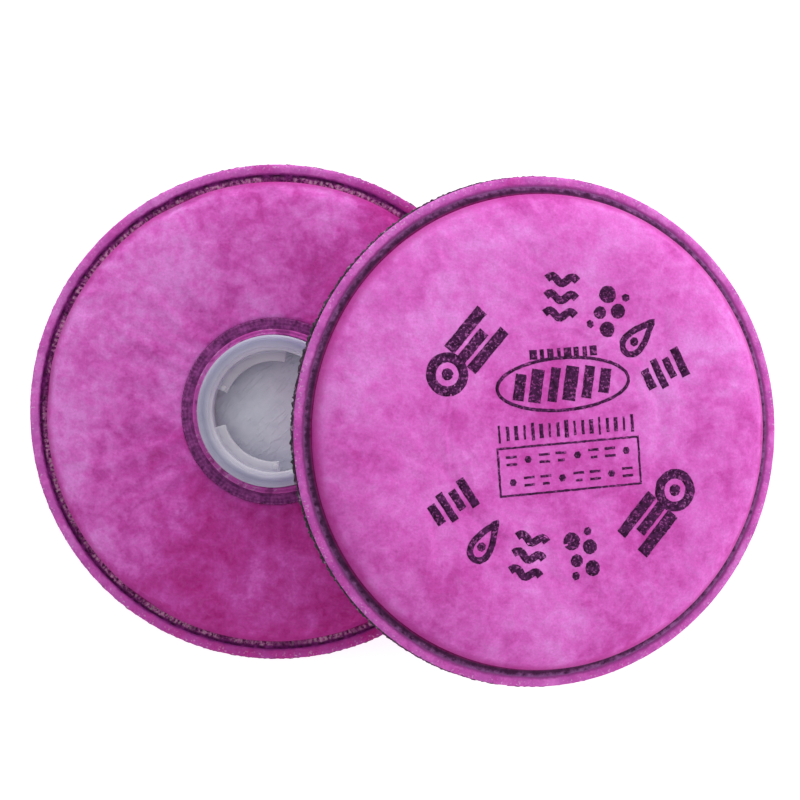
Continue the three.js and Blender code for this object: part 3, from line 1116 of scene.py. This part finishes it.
def ink_points(surface, stroke, order):
    """The points of one ink slab, row by row, with its under and outer face in turn. Also
    returns how many rows and columns it has."""
    line, width, closed = stroke
    turn = math.radians(PRINT_TURN_DEG)
    middle, side = spaced(line, closed)
    columns = max(2, round(width / 0.5) + 1)
    lift = INK_LIFT + 0.002 * (order % 5)
    below = -12
    points = []
    for spot, across in zip(middle, side):
        for column in range(columns):
            place = spot + across * width * (column / (columns - 1) - 0.5)
            if column in (0, columns - 1):
                place = place + across * 0.09 * rough((place[0], place[1], order), 0.6, 7)
            u, v = turned(*place, turn)
            hit = surface.ray_cast(Vector((-u, v, below)) * MM, Vector((0, 0, 1)))[0]
            height = hit.z / MM
            points += [(-u, v, height - lift), (-u, v, height + INK_LIFT)]
    return points, len(middle), columns


def ink_faces(start, rows, columns, closed):
    """The faces of one ink slab whose first point has the index start."""

    def index(row, column, under):
        return start + 2 * ((row % rows) * columns + column) + under

    def edge(first, second):
        return index(*first, 0), index(*second, 0), index(*second, 1), index(*first, 1)

    faces = []
    last = columns - 1
    for row in range(rows if closed else rows - 1):
        for column in range(last):
            for under in (0, 1):
                corners = (index(row, column, under), index(row + 1, column, under),
                           index(row + 1, column + 1, under), index(row, column + 1, under))
                faces.append(corners if under else corners[::-1])
        faces += [edge((row, column), (row + 1, column)) for column in (0, last)]
    if not closed:
        for row in (0, rows - 1):
            faces += [edge((row, column), (row, column + 1)) for column in range(last)]
    return faces


def make_print(prefix, cover, material):
    """Thin closed slabs of ink that follow the cover under them."""
    surface = BVHTree.FromObject(cover, bpy.context.evaluated_depsgraph_get())
    points, faces = [], []
    for order, stroke in enumerate(print_strokes()):
        slab, rows, columns = ink_points(surface, stroke, order)
        faces += ink_faces(len(points), rows, columns, stroke[2])
        points += slab
    return shell(prefix, "front_print", points, faces, material)


# ---- Building the pair ----


def paint_rim(cover, material):
    """Gives the pressed rim of a cover its own material."""
    cover.data.materials.append(material)
    for face in cover.data.polygons:
        if math.hypot(face.center.x, face.center.y) > (RIM_START - 0.6) * MM:
            face.material_index = 1


def build_cover(prefix, side):
    """One cover with its two materials, which stands for the CAD's cover web."""
    name = SIDE_NAMES[side]
    foot = REAR_FOOT if side > 0 else FRONT_FOOT
    melt_shade_colour, span = REAR_MELT_AND_SHADE if side > 0 else FRONT_MELT_AND_SHADE
    seed = SEEDS[prefix] + side
    web = cover_material(f"{prefix}_{name}_dyed_web", seed, foot, DYE_AND_SHADE_SIDES[prefix], CONTRAST[prefix])
    rim = rim_material(f"{prefix}_{name}_pressed_rim", seed, melt_shade_colour, span, DYE_AND_SHADE_SIDES[prefix])
    cover = make_cover(prefix, side, web)
    paint_rim(cover, rim)
    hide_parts(f"{prefix}_{name}_cover_web")
    return cover


def build_welds(prefix):
    """The fused strips, the rim's core, the collar ring and the web's loose edge in it."""
    seed = SEEDS[prefix]
    rear_strip = make_weld_strip(prefix, 1, rear_weld_material(f"{prefix}_rear_weld", seed))
    front_strip = make_weld_strip(prefix, -1, front_weld_material(f"{prefix}_front_weld", seed))
    core = make_core(prefix, core_material(f"{prefix}_charcoal_edge", seed))
    collar = make_collar(prefix, collar_material(f"{prefix}_collar_weld", seed))
    fold = make_collar_fold(prefix, fold_material(f"{prefix}_collar_fold", seed + 2))
    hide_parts(f"{prefix}_perimeter_weld")
    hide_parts(f"{prefix}_collar_weld")
    return [rear_strip, front_strip, core, collar, fold]


def build_fitting(prefix):
    plastic = plastic_material(f"{prefix}_milky_plastic", SEEDS[prefix])
    fitting = make_fitting(prefix, plastic, TURN_DEG)
    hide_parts(f"{prefix}_bayonet_fitting")
    return fitting


def build_breather_pad(prefix):
    grey = plain_web_material(f"{prefix}_breather_web", SEEDS[prefix], (0.66, 0.71, 0.80),
                              (0.78, 0.82, 0.90), 260)
    pad = make_spacer(prefix, grey)
    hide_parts(f"{prefix}_spacer_web")
    return pad


def build_filter(prefix):
    rear, front = build_cover(prefix, 1), build_cover(prefix, -1)
    slots = {rear: "cover_web", front: "cover_web"}
    for piece in build_welds(prefix):
        slots[piece] = "weld"
    slots[build_fitting(prefix)] = "bayonet_plastic"
    slots[build_breather_pad(prefix)] = "spacer_web"
    if prefix == "upper":
        ink = make_print(prefix, front, ink_material("upper_ink", SEEDS[prefix] - 1))
        slots[ink] = "cover_web"
    for piece, slot_name in slots.items():
        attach(piece, BODIES[prefix])


def finish_inner_webs():
    """Materials for the CAD webs that stay inside the covers."""
    white = plain_web_material("filter_web_white", 5.0, (0.74, 0.74, 0.72), (0.86, 0.86, 0.84), 300)
    black = plain_web_material("carbon_web_black", 8.0, (0.02, 0.02, 0.022), (0.07, 0.07, 0.075), 420)
    for name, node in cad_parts.items():
        if "filter_web" in name or "carbon_web" in name:
            node.data.materials.clear()
            node.data.materials.append(black if "carbon" in name else white)


# ---- Floor, light and camera ----


def make_floor():
    nodes = Nodes("floor_paint")
    grain = nodes.noise(nodes.place, 40, 3.0, 0.5)
    colour = nodes.ramp(grain, [(0.3, (0.90, 0.90, 0.90)), (0.7, (0.92, 0.92, 0.92))])
    material = nodes.finish(colour, roughness=0.9, specular_ior_level=0.1)
    nodes.shader.inputs["Emission Color"].default_value = (1, 1, 1, 1)
    nodes.shader.inputs["Emission Strength"].default_value = 0.62
    mesh = bpy.data.meshes.new("floor")
    reach = 12.0
    corners = [(-reach, -reach, 0), (reach, -reach, 0), (reach, reach, 0), (-reach, reach, 0)]
    mesh.from_pydata(corners, [], [(0, 1, 2, 3)])
    mesh.materials.append(material)
    floor = linked("floor", mesh)
    floor.location.z = cad_box[0].z - 0.0002


def make_light(name, bearing_deg, height_deg, power, size=0.35, distance=0.6):
    """A square softbox that faces the middle of the object. The bearing is counted from +X
    towards +Y."""
    data = bpy.data.lights.new(name, "AREA")
    data.size = size
    data.energy = power
    lamp = linked(name, data)
    middle = (cad_box[0] + cad_box[1]) / 2
    bearing, height = math.radians(bearing_deg), math.radians(height_deg)
    flat = distance * math.cos(height)
    lamp.location = middle + Vector((flat * math.cos(bearing), flat * math.sin(bearing),
                                     distance * math.sin(height)))
    lamp.rotation_euler = (middle - lamp.location).to_track_quat("-Z", "Y").to_euler()


def make_lighting():
    world = bpy.data.worlds.new("studio")
    world.use_nodes = True
    background = world.node_tree.nodes["Background"]
    background.inputs["Color"].default_value = (1, 1, 1, 1)
    background.inputs["Strength"].default_value = 0.59
    bpy.context.scene.world = world
    make_light("far_softbox", 90, 15, 1.91)
    make_light("right_softbox", 0, 15, 1.39)


def make_camera():
    """Looks down on the pair from almost straight above."""
    data = bpy.data.cameras.new("camera")
    data.sensor_width = 36
    data.lens = 81
    data.clip_start, data.clip_end = 0.01, 10
    camera = linked("camera", data)
    middle = (cad_box[0] + cad_box[1]) / 2
    camera.location = middle + Vector((0.0056, 0.0010, 0.3703))
    camera.rotation_euler = [math.radians(a) for a in (0.585, 0.945, 4.405)]
    bpy.context.scene.camera = camera


build_filter("lower")
build_filter("upper")
finish_inner_webs()
make_floor()
make_lighting()
make_camera()
bpy.context.scene.view_settings.view_transform = "Standard"

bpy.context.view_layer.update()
